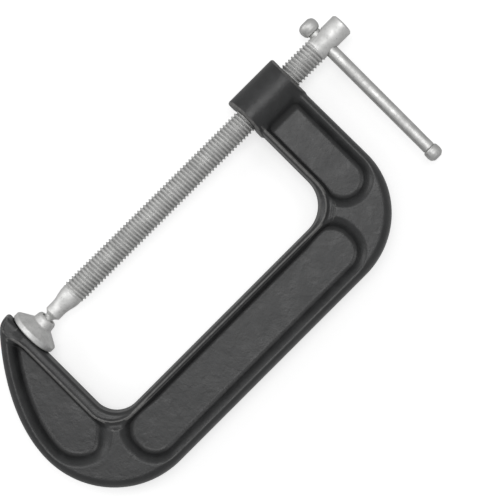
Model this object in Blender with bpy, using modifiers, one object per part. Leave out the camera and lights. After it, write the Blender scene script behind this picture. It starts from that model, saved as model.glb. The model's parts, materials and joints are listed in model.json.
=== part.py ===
"""C clamp of the 100 mm class, lying on its side.

A cast iron C frame carries an M10 screw in its boss. A swivel pad turns on the screw's
ball end, and a tommy bar with a stop on each end slides through the screw's head.

X runs from the screw to the spine, Y along the screw from the jaw to the head, and Z is
up, square to the casting's parting plane. The outlines below are drawn about the point
where the screw's axis meets the jaw's face, which the empty clamp_datum places.
"""
import math

import bmesh
import bpy
from mathutils import Vector

# Place of the outlines' origin in the part's own frame, whose origin is at the middle of
# the underside of the part's box.
DATUM = (-0.0303, -0.0677, 0.01)

CLEARANCE = 0.0003  # between pieces that touch or run in each other

# C frame
DRAFT = math.radians(6.0)  # casting draft, away from the parting plane on both halves
FRAME_HALF_DEPTH = 0.007
FRAME_EDGE_INSET = 0.0021  # from the outline at the parting plane to the flat of the rim
FRAME_EDGE_HEIGHT = 0.0016
SPINE_INNER_X = 0.0451
SPINE_OUTER_X = 0.0723
ARM_END_X = 0.002  # hidden inside the boss
ARM_TOP_Y = 0.1358
ARM_UNDER_Y = 0.1132
JAW_TIP_X = -0.0117
JAW_TIP_RADIUS = 0.0022
JAW_BOTTOM = (0.0371, -0.0286)
JAW_FREE_X = 0.012  # the jaw's face is clear of the pad from here to the spine
JAW_FREE_DROP = 0.00001  # and dips this much there, so the two stretches are separate faces
INNER_LOW_RADIUS = 0.010
INNER_HIGH_RADIUS = 0.0125
OUTER_HIGH_RADII = (0.0313, 0.0322)
OUTER_LOW_RADII = (0.0352, 0.0348)

# Pockets on both sides of the frame, which leave a rim round a thin web. Their walls are
# steep towards the throat and slope gently everywhere else.
POCKET_FLOOR_Z = 0.0028
POCKET_THROAT_RUN = 0.0010  # how far the throat side's wall runs in from mouth to floor
POCKET_OUTER_RUN = 0.0029  # the same for the other walls
POCKET_OPEN_PART = -0.36  # the cutters start this part of the pocket's depth above its mouth
POCKET_FOOT_PARTS = (0.78, 1.22)  # the foot's fillet begins and ends at these parts

# Boss at the end of the upper arm
BOSS_RADIUS = 0.0093
BOSS_LOW_Y = 0.1126
BOSS_HIGH_Y = 0.1362
BOSS_EDGE = 0.0008

# Screw, M10 x 1.5: its thread is a plain cylinder of the thread's outer diameter
THREAD_RADIUS = 0.0049
THREAD_LOW_Y = 0.0211
THREAD_HIGH_Y = 0.1508
HEAD_RADIUS = 0.0046
HEAD_TOP_Y = 0.164
SHANK_RADIUS = 0.00325
SHANK_LOW_Y = 0.0102
SHANK_HIGH_Y = 0.0145
NECK_RADIUS = 0.00175
BALL_RADIUS = 0.0027
BALL_Y = 0.00563

# Swivel pad, drawn about the centre of its ball socket
PAD_RADIUS = 0.00955
PAD_BASE_Z = -0.0053
PAD_HUB_RADIUS = 0.0042
PAD_HUB_TOP_Z = 0.0033
PAD_MOUTH_RADIUS = 0.0025
PAD_TILT = DRAFT  # the pad lies flat on the upper half of the jaw's drafted face

# Tommy bar and its two end stops, along X
BAR_Y = 0.154
BAR_RADIUS = 0.0025
BAR_SPIGOT_RADIUS = 0.0016
KNOB_RADIUS = 0.00388
KNOB_SPAN = (-0.01045, -0.0053)
CAP_RADIUS = 0.00315
CAP_SPAN = (0.0557, 0.0605)
SPIGOT_LENGTH = 0.0034

FINE = 32  # sides of the boss and of the pad
MEDIUM = 24  # sides of the screw, the bar and the stops


def clear_scene():
    for obj in list(bpy.data.objects):
        bpy.data.objects.remove(obj, do_unlink=True)


def new_collection(name):
    collection = bpy.data.collections.new(name)
    bpy.context.scene.collection.children.link(collection)
    return collection


def material(name, colour, roughness, metallic):
    made = bpy.data.materials.new(name)
    made.use_nodes = True
    shader = made.node_tree.nodes["Principled BSDF"]
    shader.inputs["Base Color"].default_value = (*colour, 1.0)
    shader.inputs["Roughness"].default_value = roughness
    shader.inputs["Metallic"].default_value = metallic
    return made


def arc(centre, radii, start_deg, end_deg, steps):
    """Points on an elliptical arc, both ends included."""
    points = []
    for i in range(steps + 1):
        angle = math.radians(start_deg + (end_deg - start_deg) * i / steps)
        x = centre[0] + radii[0] * math.cos(angle)
        y = centre[1] + radii[1] * math.sin(angle)
        points.append((x, y))
    return points


def bezier(p0, p1, p2, p3, steps):
    """Points inside a cubic Bezier curve, without its two ends."""
    points = []
    for i in range(1, steps):
        t = i / steps
        weights = ((1 - t) ** 3, 3 * t * (1 - t) ** 2, 3 * t * t * (1 - t), t**3)
        x = sum(w * p[0] for w, p in zip(weights, (p0, p1, p2, p3)))
        y = sum(w * p[1] for w, p in zip(weights, (p0, p1, p2, p3)))
        points.append((x, y))
    return points


def frame_outline():
    """The casting's outline at the parting plane, clockwise from the upper arm's end."""
    high_centre = (SPINE_OUTER_X - OUTER_HIGH_RADII[0], 0.104)
    low_centre = (JAW_BOTTOM[0], JAW_BOTTOM[1] + OUTER_LOW_RADII[1])
    nose = (-0.0086, -0.008)
    tip_radii = (JAW_TIP_RADIUS, JAW_TIP_RADIUS)
    tip_centre = (JAW_TIP_X + JAW_TIP_RADIUS, -JAW_TIP_RADIUS)
    inner_low = (SPINE_INNER_X - INNER_LOW_RADIUS, INNER_LOW_RADIUS)
    inner_high = (SPINE_INNER_X - INNER_HIGH_RADIUS, ARM_UNDER_Y - INNER_HIGH_RADIUS)
    tip_low = (JAW_TIP_X, -JAW_TIP_RADIUS)
    points = [(ARM_END_X, ARM_TOP_Y)]
    points += arc(high_centre, OUTER_HIGH_RADII, 90, 0, 14)
    points += arc(low_centre, OUTER_LOW_RADII, 0, -90, 14)
    points += bezier(JAW_BOTTOM, (0.0201, -0.0286), (0.0035, -0.0185), nose, 12)
    points += [nose]
    points += bezier(nose, (-0.0106, -0.0063), (JAW_TIP_X, -0.0044), tip_low, 4)
    points += arc(tip_centre, tip_radii, 180, 90, 4)
    points += [(JAW_FREE_X, -JAW_FREE_DROP)]
    points += arc(inner_low, (INNER_LOW_RADIUS, INNER_LOW_RADIUS), -90, 0, 7)
    points += arc(inner_high, (INNER_HIGH_RADIUS, INNER_HIGH_RADIUS), 0, 90, 8)
    points += [(ARM_END_X, ARM_UNDER_Y)]
    return points


def arm_pocket(part):
    """The upper arm's pocket: straight sides from inside the boss to one round end."""
    low = 0.1157 + POCKET_THROAT_RUN * part
    high = 0.1330 - POCKET_OUTER_RUN * part
    end_x = 0.0508 - POCKET_OUTER_RUN * part
    high_radius = 0.0095 - POCKET_OUTER_RUN * part
    low_radius = 0.0065 - POCKET_THROAT_RUN * part
    high_centre = (end_x - high_radius, high - high_radius)
    low_centre = (end_x - low_radius, low + low_radius)
    points = [(0.003, high)]
    points += arc(high_centre, (high_radius, high_radius), 90, 0, 8)
    points += arc(low_centre, (low_radius, low_radius), 0, -90, 7)
    points += [(0.003, low)]
    return points


def spine_pocket(part):
    """The spine's pocket: a long rectangle with large round corners."""
    left = 0.0481 + POCKET_THROAT_RUN * part
    right = 0.0684 - POCKET_OUTER_RUN * part
    low = -0.0039 + POCKET_OUTER_RUN * part
    high = 0.1122 - POCKET_OUTER_RUN * part
    inner = 0.0080 - POCKET_OUTER_RUN * part
    outer = 0.0098 - POCKET_OUTER_RUN * part
    points = arc((left + inner, high - inner), (inner, inner), 180, 90, 7)
    points += arc((right - outer, high - outer), (outer, outer), 90, 0, 7)
    points += arc((right - outer, low + outer), (outer, outer), 0, -90, 7)
    points += arc((left + inner, low + inner), (inner, inner), -90, -180, 7)
    return points


def jaw_pocket(part):
    """The lower jaw's pocket: flat along the jaw's face, and curved like the horn below."""
    top_y = -0.0052 - POCKET_THROAT_RUN * part
    right_x = 0.0497 - POCKET_OUTER_RUN * part
    bottom = (0.037, -0.0244 + POCKET_OUTER_RUN * part)
    radius = 0.0064 - POCKET_THROAT_RUN * part
    end_radii = (right_x - bottom[0], top_y - radius - bottom[1])
    horn_middle = (0.0072 + 0.003 * part, -0.0156 + 0.002 * part)
    horn_point = (-0.0022 + 0.0062 * part, -0.0073 - 0.0008 * part)
    points = [(0.007 + 0.002 * part, top_y)]
    points += arc((right_x - radius, top_y - radius), (radius, radius), 90, 0, 6)
    points += arc((bottom[0], top_y - radius), end_radii, 0, -90, 8)[1:]
    points += bezier(bottom, (0.0245, bottom[1]), horn_middle, horn_point, 9)
    points += [horn_point]
    return points


def inset(outline, amount):
    """A clockwise outline moved inwards by amount, square to its sides."""
    count = len(outline)
    moved = []
    for i, (x, y) in enumerate(outline):
        before = Vector((x, y)) - Vector(outline[i - 1])
        after = Vector(outline[(i + 1) % count]) - Vector((x, y))
        inwards = [Vector((side.y, -side.x)).normalized() for side in (before, after)]
        middle = (inwards[0] + inwards[1]).normalized()
        step = amount / middle.dot(inwards[0])
        moved.append((x + step * middle.x, y + step * middle.y))
    return moved


def loft(name, outlines, heights, collection):
    """A closed solid through clockwise outlines of equal length, one at each height."""
    bm = bmesh.new()
    rings = []
    for outline, z in zip(outlines, heights):
        rings.append([bm.verts.new((x, y, z)) for x, y in outline])
    count = len(rings[0])
    for low, high in zip(rings, rings[1:]):
        for i in range(count):
            j = (i + 1) % count
            bm.faces.new((low[j], low[i], high[i], high[j]))
    bm.faces.new(rings[0])
    bm.faces.new(rings[-1][::-1])
    mesh = bpy.data.meshes.new(name)
    bmesh.ops.recalc_face_normals(bm, faces=bm.faces)
    bm.to_mesh(mesh)
    bm.free()
    obj = bpy.data.objects.new(name, mesh)
    collection.objects.link(obj)
    return obj


def frame_levels():
    """Insets and heights of the frame's edge: drafted sides, rounded to a flat rim."""
    shoulder_z = FRAME_HALF_DEPTH - FRAME_EDGE_HEIGHT
    shoulder_inset = shoulder_z * math.tan(DRAFT)
    upper = [(shoulder_inset, shoulder_z)]
    for step in (1, 2, 3):
        angle = math.radians(30 * step)
        reach = (FRAME_EDGE_INSET - shoulder_inset) * math.cos(angle)
        z = shoulder_z + FRAME_EDGE_HEIGHT * math.sin(angle)
        upper.append((FRAME_EDGE_INSET - reach, z))
    lower = [(amount, -z) for amount, z in reversed(upper)]
    return lower + [(0.0, 0.0)] + upper


def pocket_levels():
    """Parts of the pocket's depth, and how far each lies above the floor's plane."""
    depth = FRAME_HALF_DEPTH - POCKET_FLOOR_Z
    begin, end = POCKET_FOOT_PARTS
    levels = [(POCKET_OPEN_PART, depth * (1 - POCKET_OPEN_PART)), (begin, depth * (1 - begin))]
    for step in (1, 2, 3):
        t = step / 3
        part = begin * (1 - t) ** 2 + 2 * t * (1 - t) + end * t * t
        levels.append((part, depth * (1 - begin) * (1 - t) ** 2))
    return levels


def cylinder(name, radius, length, sides, collection):
    """A closed cylinder along local Z, centred on its origin."""
    bm = bmesh.new()
    bmesh.ops.create_cone(
        bm, cap_ends=True, segments=sides, radius1=radius, radius2=radius, depth=length
    )
    mesh = bpy.data.meshes.new(name)
    bm.to_mesh(mesh)
    bm.free()
    obj = bpy.data.objects.new(name, mesh)
    collection.objects.link(obj)
    return obj


def boss_blank(collection):
    """The boss along Y, with rounded rims and ends that fall back with the draft."""
    middle_y = (BOSS_LOW_Y + BOSS_HIGH_Y) / 2
    half = (BOSS_HIGH_Y - BOSS_LOW_Y) / 2
    obj = cylinder("boss_blank", BOSS_RADIUS, 2 * half, FINE, collection)
    bm = bmesh.new()
    bm.from_mesh(obj.data)
    rims = [e for e in bm.edges if abs(e.verts[0].co.z - e.verts[1].co.z) < half]
    bmesh.ops.bevel(bm, geom=rims, offset=BOSS_EDGE, segments=2, affect="EDGES", profile=0.5)
    bmesh.ops.bisect_plane(
        bm, geom=bm.verts[:] + bm.edges[:] + bm.faces[:], plane_co=(0, 0, 0), plane_no=(0, 1, 0)
    )
    for vert in bm.verts:
        x, across, along = vert.co
        fall = abs(across) * math.tan(DRAFT) * along / half
        vert.co = (x, middle_y + along - fall, -across)
    bm.to_mesh(obj.data)
    bm.free()
    return obj


def turned(name, profile, sides, collection):
    """A solid of revolution about local Z; the profile runs down its outer side."""
    mesh = bpy.data.meshes.new(name)
    mesh.from_pydata(
        [(radius, 0.0, z) for radius, z in profile],
        [(i, i + 1) for i in range(len(profile) - 1)],
        [],
    )
    obj = bpy.data.objects.new(name, mesh)
    collection.objects.link(obj)
    screw = obj.modifiers.new("Turn", "SCREW")
    screw.steps = sides
    screw.render_steps = sides
    screw.use_merge_vertices = True
    screw.merge_threshold = 0.00001
    screw.use_smooth_shade = True
    return obj


def boolean(obj, operand, operation):
    modifier = obj.modifiers.new(f"{operation.title()} {operand.name}", "BOOLEAN")
    modifier.operation = operation
    modifier.solver = "EXACT"
    modifier.object = operand
    operand.hide_render = True
    operand.display_type = "WIRE"


def make_frame(parts, cutters):
    outline = frame_outline()
    rings = [inset(outline, amount) for amount, _ in frame_levels()]
    heights = [z for _, z in frame_levels()]
    frame = loft("clamp_frame", rings, heights, parts)
    for pocket in (arm_pocket, spine_pocket, jaw_pocket):
        rings = [pocket(part) for part, _ in pocket_levels()]
        for side, word in ((1, "upper"), (-1, "under")):
            heights = [side * (POCKET_FLOOR_Z + rise) for _, rise in pocket_levels()]
            cutter = loft(f"{pocket.__name__}_{word}", rings, heights, cutters)
            boolean(frame, cutter, "DIFFERENCE")
    boolean(frame, boss_blank(cutters), "UNION")
    bore = cylinder("bore", THREAD_RADIUS + CLEARANCE, 0.04, MEDIUM, cutters)
    bore.location = (0, (BOSS_LOW_Y + BOSS_HIGH_Y) / 2, 0)
    bore.rotation_euler = (math.radians(90), 0, 0)
    boolean(frame, bore, "DIFFERENCE")
    return frame


def screw_profile():
    """The screw from the top of its head to the bottom of its ball."""
    profile = [(0.0, HEAD_TOP_Y)]
    profile += [(HEAD_RADIUS - 0.0008, HEAD_TOP_Y), (HEAD_RADIUS, HEAD_TOP_Y - 0.0008)]
    profile += [(HEAD_RADIUS, THREAD_HIGH_Y + 0.0003), (THREAD_RADIUS, THREAD_HIGH_Y)]
    profile += [(THREAD_RADIUS, THREAD_LOW_Y)]
    flare_top_y, flare_top_radius = THREAD_LOW_Y - 0.0007, 0.0043
    for step in range(4, -1, -1):
        t = step / 4
        y = SHANK_HIGH_Y + t * (flare_top_y - SHANK_HIGH_Y)
        profile.append((SHANK_RADIUS + t * t * (flare_top_radius - SHANK_RADIUS), y))
    profile += [(SHANK_RADIUS, SHANK_LOW_Y + 0.0011), (NECK_RADIUS + 0.0003, SHANK_LOW_Y)]
    profile += [(NECK_RADIUS, SHANK_LOW_Y - 0.0005)]
    neck_angle = math.degrees(math.acos(NECK_RADIUS / BALL_RADIUS))
    profile += arc((0.0, BALL_Y), (BALL_RADIUS, BALL_RADIUS), neck_angle, -78, 8)
    profile += [(0.0, BALL_Y - BALL_RADIUS)]
    return profile


def make_screw(parts, cutters):
    screw = turned("clamp_screw", screw_profile(), MEDIUM, parts)
    screw.rotation_euler = (math.radians(-90), 0, 0)
    hole = cylinder("bar_hole", BAR_RADIUS + CLEARANCE, 0.014, MEDIUM, cutters)
    hole.location = (0, BAR_Y, 0)
    hole.rotation_euler = (0, math.radians(90), 0)
    boolean(screw, hole, "DIFFERENCE")
    return screw


def pad_profile():
    """The pad from the bottom of its socket, up, over the lip and down to its base."""
    socket = BALL_RADIUS + CLEARANCE + 0.00005
    mouth_angle = math.degrees(math.acos(PAD_MOUTH_RADIUS / socket))
    profile = [(0.0, -socket)]
    profile += arc((0.0, 0.0), (socket, socket), -78, mouth_angle, 8)
    profile += [(PAD_MOUTH_RADIUS, PAD_HUB_TOP_Z - 0.0006)]
    profile += [(PAD_MOUTH_RADIUS + 0.0004, PAD_HUB_TOP_Z), (0.0033, PAD_HUB_TOP_Z)]
    profile += [(0.0038, PAD_HUB_TOP_Z - 0.0004), (PAD_HUB_RADIUS, 0.0006)]
    profile += [(PAD_HUB_RADIUS + 0.0002, 0.0001), (PAD_RADIUS - 0.0004, -0.0028)]
    profile += [(PAD_RADIUS, -0.0031), (PAD_RADIUS, PAD_BASE_Z + 0.0004)]
    profile += [(PAD_RADIUS - 0.0004, PAD_BASE_Z), (0.0, PAD_BASE_Z)]
    return profile


def make_pad(parts):
    pad = turned("swivel_pad", pad_profile(), FINE, parts)
    pad.location = (0, BALL_Y, 0)
    pad.rotation_euler = (math.radians(-90) + PAD_TILT, 0, 0)
    return pad


def make_bar(parts):
    low = KNOB_SPAN[1] + CLEARANCE
    high = CAP_SPAN[0] - CLEARANCE
    edge = 0.0003
    profile = [(0.0, high + SPIGOT_LENGTH), (BAR_SPIGOT_RADIUS, high + SPIGOT_LENGTH)]
    profile += [(BAR_SPIGOT_RADIUS, high), (BAR_RADIUS - edge, high)]
    profile += [(BAR_RADIUS, high - edge), (BAR_RADIUS, low + edge)]
    profile += [(BAR_RADIUS - edge, low), (BAR_SPIGOT_RADIUS, low)]
    profile += [(BAR_SPIGOT_RADIUS, low - SPIGOT_LENGTH), (0.0, low - SPIGOT_LENGTH)]
    bar = turned("tommy_bar", profile, MEDIUM, parts)
    bar.location = (0, BAR_Y, 0)
    bar.rotation_euler = (0, math.radians(90), 0)
    return bar


def make_stop(name, radius, span, sign, parts):
    """A barrel-shaped stop with a blind hole for the bar's spigot, open on its inner side.

    sign is +1 where the outer end points along +X and -1 where it points along -X.
    """
    length = span[1] - span[0]
    bore = BAR_SPIGOT_RADIUS + CLEARANCE
    depth = SPIGOT_LENGTH + 2 * CLEARANCE
    profile = [(0.0, length)]
    profile += arc((radius / 2, length / 2), (radius / 2, length / 2), 78, -70, 10)
    profile += [(bore + 0.0004, 0.0), (bore, 0.0), (bore, depth), (0.0, depth)]
    stop = turned(name, profile, MEDIUM, parts)
    inner_end = span[0] if sign > 0 else span[1]
    stop.location = (inner_end, BAR_Y, 0)
    stop.rotation_euler = (0, sign * math.radians(90), 0)
    return stop


def main():
    clear_scene()
    parts = new_collection("c_clamp")
    cutters = new_collection("c_clamp_cutters")
    datum = bpy.data.objects.new("clamp_datum", None)
    datum.location = DATUM
    parts.objects.link(datum)

    black_paint = material("black_paint", (0.055, 0.056, 0.058), 0.5, 0.0)
    zinc_steel = material("zinc_steel", (0.66, 0.66, 0.66), 0.34, 1.0)
    steel_pieces = [
        make_screw(parts, cutters),
        make_pad(parts),
        make_bar(parts),
        make_stop("bar_knob", KNOB_RADIUS, KNOB_SPAN, -1, parts),
        make_stop("bar_end_cap", CAP_RADIUS, CAP_SPAN, 1, parts),
    ]
    frame = make_frame(parts, cutters)
    frame.data.materials.append(black_paint)
    for piece in steel_pieces:
        piece.data.materials.append(zinc_steel)
    for obj in list(parts.objects) + list(cutters.objects):
        if obj is not datum:
            obj.parent = datum
    for mesh in (obj.data for obj in parts.objects if obj.type == "MESH"):
        mesh.shade_smooth()
        mesh.set_sharp_from_angle(angle=math.radians(30))


main()
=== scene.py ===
"""A c clamp: a painted casting, a plated screw with a swivel pad, and a sliding bar."""

import json
import math

import bmesh
import bpy
import numpy as np
from mathutils import Matrix, Vector


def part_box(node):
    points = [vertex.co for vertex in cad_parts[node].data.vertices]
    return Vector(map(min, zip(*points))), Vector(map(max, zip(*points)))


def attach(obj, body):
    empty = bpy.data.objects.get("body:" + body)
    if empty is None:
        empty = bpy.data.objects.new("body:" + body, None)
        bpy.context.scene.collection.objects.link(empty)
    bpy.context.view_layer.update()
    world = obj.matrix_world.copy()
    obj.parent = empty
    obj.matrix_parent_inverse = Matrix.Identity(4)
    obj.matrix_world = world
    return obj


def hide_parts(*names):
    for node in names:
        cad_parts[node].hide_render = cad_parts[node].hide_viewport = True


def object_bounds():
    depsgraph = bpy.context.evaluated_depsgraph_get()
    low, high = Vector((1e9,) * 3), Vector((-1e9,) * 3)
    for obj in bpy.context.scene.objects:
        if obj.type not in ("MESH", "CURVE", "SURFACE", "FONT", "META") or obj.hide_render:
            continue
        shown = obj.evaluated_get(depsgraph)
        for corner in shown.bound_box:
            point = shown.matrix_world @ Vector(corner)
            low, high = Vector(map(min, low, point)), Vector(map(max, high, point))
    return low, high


# Lengths are in metres. The drawing frame has x across the throat from the screw's
# axis, y along the screw from the jaw's face, and z out of the parting plane.

DRAFT = math.radians(6)

# casting
HALF_DEPTH = 0.007
RIM_ROUND = (0.0029, 0.0046)  # across and down, on the outer side
THROAT_ROUND = (0.0015, 0.0014)  # the same on the throat side
SPINE_INNER_X = 0.0451
SPINE_OUTER_X = 0.0723
ARM_END_X = 0.002  # hidden inside the boss
ARM_TOP_Y = 0.1358
ARM_UNDER_Y = 0.1132
JAW_TIP_X = -0.0117
JAW_TIP_RADIUS = 0.0013
JAW_BOTTOM = (0.0371, -0.0286)
INNER_LOW_RADIUS = 0.010
INNER_HIGH_RADIUS = 0.0125
OUTER_HIGH_RADII = (0.0313, 0.0322)
OUTER_HIGH_Y = 0.104  # of that corner's centre
OUTER_LOW_RADII = (0.0352, 0.0348)
NOSE = (-0.0086, -0.008)  # where the horn's long curve meets its blunt end
HORN_HANDLES = ((0.0201, -0.0286), (0.0035, -0.0185))  # of that Bezier curve
NOSE_HANDLES = ((-0.0106, -0.0063), (JAW_TIP_X, -0.0044))
SEAM_PROUD = 0.00009  # the parting line stands this far out of the drafted sides
SEAM_HALF_WIDTH = 0.0004

# bead along the throat side, at the pockets' edge
BEAD_JAW_Y = -0.0044
BEAD_SPINE_X = 0.0474
BEAD_ARM_Y = 0.11525
BEAD_LOW_RADIUS = 0.0112
BEAD_HIGH_RADIUS = 0.0123
BEAD_HEIGHT = 0.0007  # above the strip between it and the throat
BEAD_HALF_WIDTH = 0.0009
BEAD_END_X = (-0.005, -0.001)  # it rises between these on the jaw
BEAD_BEND_X = 0.002  # from here to the tip, its line falls away from the jaw's face
BEAD_TIP_X = -0.010
BEAD_TIP_DROP = 0.0016
RIM_CHANGE = 0.0016  # the throat's rim rounding takes over in this width of the bead
GROOVE_OFFSET = 0.00125  # a groove follows the bead across the corners
GROOVE_RADIUS = 0.0011
GROOVE_EDGE = 0.0010  # rounding of the groove's edges
GROOVE_RISE = (0.0007, 0.0001)  # of its centre over the rim, at the jaw and at the arm
THROAT_SIDE_X = -0.03  # well clear of the jaw's tip and the boss

# pockets on both sides
POCKET_FLOOR_Z = 0.0028
POCKET_DEPTH = HALF_DEPTH - POCKET_FLOOR_Z
POCKET_OUTER_RUN = 0.0022  # how far the outer walls run in from mouth to floor
SPINE_BEAD_RUN = 0.0013  # the same for the wall beside the bead, on the spine
ARM_BEAD_RUN = 0.0003  # and on the arm and the jaw
SPINE_MIDDLE_Y = 0.0555
SPINE_HALF_LENGTH = 0.040
SPINE_END_LENGTH = 0.006  # what differs off the spine changes over this length
RAMP_RUN = 0.0050  # more run at the jaw pocket's upper end, which rises as a ramp
RAMP_PLACE = (0.0465, -0.0055)
RAMP_REACH = 0.0050
POCKET_MOUTH = 0.0005  # from the bead's crest to the pocket
POCKET_CORNER = 0.0020
OUTER_LIP, THROAT_LIP = 0.0023, 0.0004  # roundings where the walls meet the rims
OUTER_FOOT, THROAT_FOOT = 0.0012, 0.0005  # and where they meet the floor
WALL_CHANGE = 0.0036  # one wall's lip and foot turn into the other's in this width
ARM_POCKET_START_X = 0.003  # hidden inside the boss
JAW_POCKET_TIP = (-0.0028, -0.0071)
JAW_POCKET_HANDLES = ((0.0242, -0.0240), (0.0072, -0.0156))

# boss round the screw
BOSS_RADIUS = 0.0093
BOSS_LOW_Y = 0.1126
BOSS_HIGH_Y = 0.1362
BOSS_EDGE = 0.0010
BOSS_FILLETS = (0.0003, 0.0020)  # at the arm's sides, and inwards of them
BOSS_FILLET_START = 0.0010  # it widens from this far inside the arm's outline,
BOSS_FILLET_CHANGE = 0.0025  # over this width
BORE_RADIUS = 0.0052
BORE_EDGE = 0.0005
BORE_LOW_Y = 0.1  # the bore is cut above here only, clear of the jaw

# screw
PITCH = 0.0015
CREST_RADIUS = 0.0049
ROOT_RADIUS = 0.00412
THREAD_LOW_Y = 0.0211
THREAD_HIGH_Y = 0.1508
THREAD_FADES = (0.0022, 0.0016)  # its low and high ends rise to full depth in these
THREAD_PARTS = (0.0, 0.125, 0.25, 0.41, 0.5625, 0.625, 0.6875, 0.84)  # of one pitch
THREAD_HEIGHTS = (0.04, 0.0, 0.04, 0.5, 0.94, 1.0, 0.94, 0.5)  # of its depth, at them
FLARE_TOP_RADIUS = 0.0043
FLARE_STEPS = 11
HEAD_RADIUS = 0.0046
HEAD_LOW_Y = 0.158  # closer rings run down from here, past the cross hole
HEAD_STEPS = 20
HEAD_TOP_Y = 0.16399
HEAD_CHAMFER = 0.0006
HOLE_FLARE_RADIUS = 0.0052  # the cross hole widens to this outside the head
HOLE_FLARE_DEPTH = 0.0004
HOLE_REACH = 0.002  # how far its cutter sticks out of the head
HOLE_SIDES = 72
FLARE_GAP = 0.0004  # between the thread's end and the flare below it
SHANK_RADIUS = 0.00325
SHANK_LOW_Y = 0.0102
SHANK_HIGH_Y = 0.0145
NECK_RADIUS = 0.00175
BALL_RADIUS = 0.0027
BALL_Y = 0.00563
BALL_LAST_DEG = -84  # of the ring next to the pole, on the ball and in the socket
BALL_STEP_DEG = 8

# corners of profiles: radius, height, rounding
HEAD_PROFILE = (
    (0.0, HEAD_TOP_Y, 0),
    (HEAD_RADIUS - HEAD_CHAMFER, HEAD_TOP_Y, 0.0004),
    (HEAD_RADIUS, HEAD_TOP_Y - HEAD_CHAMFER, 0.0004),
    (HEAD_RADIUS, HEAD_LOW_Y, 0),
)
NECK_PROFILE = (
    (SHANK_RADIUS, SHANK_HIGH_Y - 0.0004, 0),
    (SHANK_RADIUS, SHANK_LOW_Y + 0.0011, 0.0005),
    (NECK_RADIUS + 0.0003, SHANK_LOW_Y, 0.0002),
    (NECK_RADIUS, SHANK_LOW_Y - 0.0005, 0),
)

# pad
PAD_TILT = math.radians(6)
PAD_RADIUS = 0.00955
PAD_BASE_Z = -0.0053
HUB_RADIUS = 0.0042
HUB_TOP_Z = 0.0033
HUB_MOUTH_RADIUS = 0.0025
SOCKET_RADIUS = 0.00305
PAD_PROFILE = (  # its outside: closed lip, hub, cone, rim and base
    (HUB_MOUTH_RADIUS, HUB_TOP_Z - 0.0006, 0),
    (HUB_MOUTH_RADIUS, HUB_TOP_Z, 0.0003),
    (0.0034, HUB_TOP_Z, 0.0003),
    (0.0039, HUB_TOP_Z - 0.0007, 0.0006),
    (HUB_RADIUS, 0.0004, 0.0004),
    (HUB_RADIUS + 0.0002, 0.0001, 0.0003),
    (PAD_RADIUS - 0.0003, -0.0029, 0.0003),
    (PAD_RADIUS, -0.0032, 0.0003),
    (PAD_RADIUS, PAD_BASE_Z + 0.0004, 0.0003),
    (PAD_RADIUS - 0.0004, PAD_BASE_Z, 0.0002),
    (0.0, PAD_BASE_Z, 0),
)

# bar and its two stops
BAR_Y = 0.154
BAR_RADIUS = 0.0025
BAR_HOLE_RADIUS = 0.0028
SPIGOT_RADIUS = BAR_RADIUS - 0.0006  # of the bar's ends, inside its stops
SPIGOT_LENGTH = 0.0012
STOP_HOLE_RADIUS = BAR_RADIUS - 0.0005
STOP_HOLE_DEPTH = 0.0014
KNOB_RADIUS = 0.00388
KNOB_SPAN = (-0.01045, -0.0053)
KNOB_LENGTH = KNOB_SPAN[1] - KNOB_SPAN[0]
CAP_RADIUS = 0.00315
CAP_SPAN = (0.0557, 0.0605)
CAP_LENGTH = CAP_SPAN[1] - CAP_SPAN[0]
BAR_LOW_X = KNOB_SPAN[1] - SPIGOT_LENGTH
BAR_HIGH_X = CAP_SPAN[0] + SPIGOT_LENGTH
BAR_PROFILE = (
    (0.0, BAR_LOW_X, 0),
    (SPIGOT_RADIUS, BAR_LOW_X, 0),
    (SPIGOT_RADIUS, BAR_LOW_X + 0.0009, 0),
    (BAR_RADIUS, BAR_LOW_X + 0.0015, 0.0002),
    (BAR_RADIUS, 0.045, 0),
    (BAR_RADIUS - 0.00005, 0.052, 0),
    (BAR_RADIUS, BAR_HIGH_X - 0.0015, 0.0002),
    (SPIGOT_RADIUS, BAR_HIGH_X - 0.0009, 0),
    (SPIGOT_RADIUS, BAR_HIGH_X, 0),
    (0.0, BAR_HIGH_X, 0),
)
KNOB_PROFILE = (
    (0.0, 0.0, 0),
    (KNOB_RADIUS * 0.55, 0.00005, 0.0008),
    (KNOB_RADIUS * 0.86, 0.0008, 0.0012),
    (KNOB_RADIUS, KNOB_LENGTH * 0.42, 0.003),
    (KNOB_RADIUS * 0.93, KNOB_LENGTH * 0.78, 0.0014),
    (KNOB_RADIUS * 0.76, KNOB_LENGTH - 0.0001, 0.0006),
    (STOP_HOLE_RADIUS, KNOB_LENGTH, 0.0002),
    (STOP_HOLE_RADIUS, KNOB_LENGTH - STOP_HOLE_DEPTH, 0),
    (0.0, KNOB_LENGTH - STOP_HOLE_DEPTH, 0),
)
CAP_PROFILE = (
    (0.0, CAP_LENGTH, 0),
    (CAP_RADIUS * 0.5, CAP_LENGTH - 0.0001, 0.0006),
    (CAP_RADIUS * 0.9, CAP_LENGTH - 0.0010, 0.0010),
    (CAP_RADIUS, CAP_LENGTH * 0.5, 0.0016),
    (CAP_RADIUS * 0.97, 0.0008, 0.0004),
    (CAP_RADIUS * 0.88, 0.0, 0.0003),
    (STOP_HOLE_RADIUS, 0.0, 0),
    (STOP_HOLE_RADIUS, STOP_HOLE_DEPTH, 0),
    (0.0, STOP_HOLE_DEPTH, 0),
)

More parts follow.
